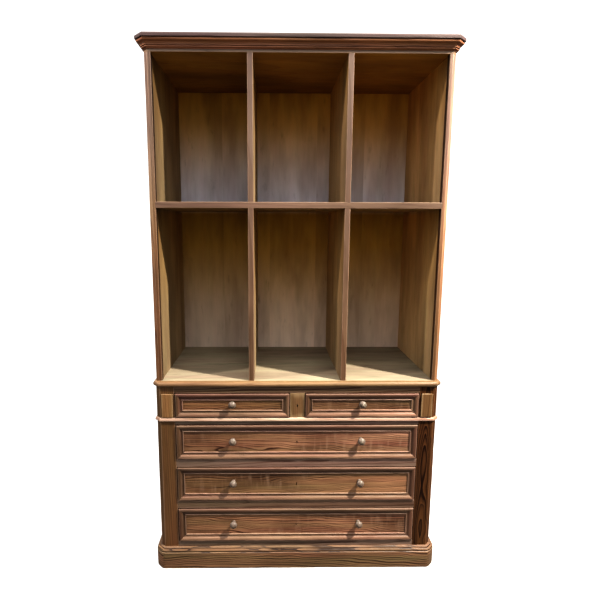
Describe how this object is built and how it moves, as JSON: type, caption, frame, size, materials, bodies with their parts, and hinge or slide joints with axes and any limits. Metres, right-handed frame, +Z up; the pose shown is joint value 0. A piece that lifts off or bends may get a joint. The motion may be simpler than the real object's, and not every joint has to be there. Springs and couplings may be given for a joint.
{
  "type": "apothecary cabinet",
  "caption": "Tall pine cabinet: open shelving case with uprights on a chest of moulded drawers, with canted corners, moulded cornice and plinth, turned knobs.",
  "frame": {"origin": "on the floor, under the middle of the whole object's box", "axes": "+X to the cabinet's right as seen from the front, +Y to its back, +Z up; the drawers open towards -Y"},
  "size_m": [1.21, 0.567, 2.126],
  "materials": {
    "patinated_pine": "waxed, darkened pitch pine",
    "drawer_pine": "waxed red-brown pitch pine with bold grain",
    "honey_pine": "worn, lighter waxed pine",
    "cornice_pine": "dark waxed pine, dusty on top",
    "raw_pine": "bare pale pine, darker waxed front edges",
    "back_pine": "bare grey-beige boards",
    "inner_pine": "bare sawn pine",
    "turned_knob": "turned pale hardwood, handled",
    "lock_iron": "old forged iron"
  },
  "bodies": {
    "carcass": {"case_side_left": "raw_pine", "case_side_right": "raw_pine", "case_post_left": "patinated_pine", "case_post_right": "patinated_pine", "case_top": "raw_pine", "crown_board": "cornice_pine", "cornice_front": "cornice_pine", "cornice_returns": "cornice_pine", "crown_bearers": "inner_pine", "middle_shelf": "raw_pine", "lower_divider_left": "raw_pine", "lower_divider_right": "raw_pine", "upper_divider_left": "raw_pine", "upper_divider_right": "raw_pine", "case_back_boards": "back_pine", "chest_side_left": "raw_pine", "chest_side_right": "raw_pine", "chest_post_left": "patinated_pine", "chest_post_right": "patinated_pine", "pilaster_block_left": "honey_pine", "pilaster_block_right": "honey_pine", "chest_top": "honey_pine", "chest_back_boards": "back_pine", "chest_floor": "inner_pine", "frieze_rail": "patinated_pine", "centre_stile": "honey_pine", "centre_partition": "inner_pine", "belt_rail": "patinated_pine", "belt_front": "honey_pine", "belt_returns": "honey_pine", "drawer_rails": "patinated_pine", "bottom_rail": "patinated_pine", "plinth_front": "patinated_pine", "plinth_returns": "patinated_pine", "drawer_runners": "inner_pine", "drawer_stops": "inner_pine", "centre_stile_lock": "lock_iron"},
    "small_left": {"small_left_front": "drawer_pine", "small_left_moulding": "drawer_pine", "small_left_box": "inner_pine", "small_left_knobs": "turned_knob"},
    "small_right": {"small_right_front": "drawer_pine", "small_right_moulding": "drawer_pine", "small_right_box": "inner_pine", "small_right_knobs": "turned_knob"},
    "wide_top": {"wide_top_front": "drawer_pine", "wide_top_moulding": "drawer_pine", "wide_top_box": "inner_pine", "wide_top_knobs": "turned_knob", "wide_top_lock": "lock_iron"},
    "wide_middle": {"wide_middle_front": "drawer_pine", "wide_middle_moulding": "drawer_pine", "wide_middle_box": "inner_pine", "wide_middle_knobs": "turned_knob", "wide_middle_lock": "lock_iron"},
    "wide_bottom": {"wide_bottom_front": "drawer_pine", "wide_bottom_moulding": "drawer_pine", "wide_bottom_box": "inner_pine", "wide_bottom_knobs": "turned_knob", "wide_bottom_lock": "lock_iron"}
  },
  "joints": [
    {"name": "small_left_slide", "type": "slide", "parent": "carcass", "child": "small_left", "axis": [0, -1, 0], "range_m": [0, 0.34]},
    {"name": "small_right_slide", "type": "slide", "parent": "carcass", "child": "small_right", "axis": [0, -1, 0], "range_m": [0, 0.34]},
    {"name": "wide_top_slide", "type": "slide", "parent": "carcass", "child": "wide_top", "axis": [0, -1, 0], "range_m": [0, 0.34]},
    {"name": "wide_middle_slide", "type": "slide", "parent": "carcass", "child": "wide_middle", "axis": [0, -1, 0], "range_m": [0, 0.34]},
    {"name": "wide_bottom_slide", "type": "slide", "parent": "carcass", "child": "wide_bottom", "axis": [0, -1, 0], "range_m": [0, 0.34]}
  ]
}
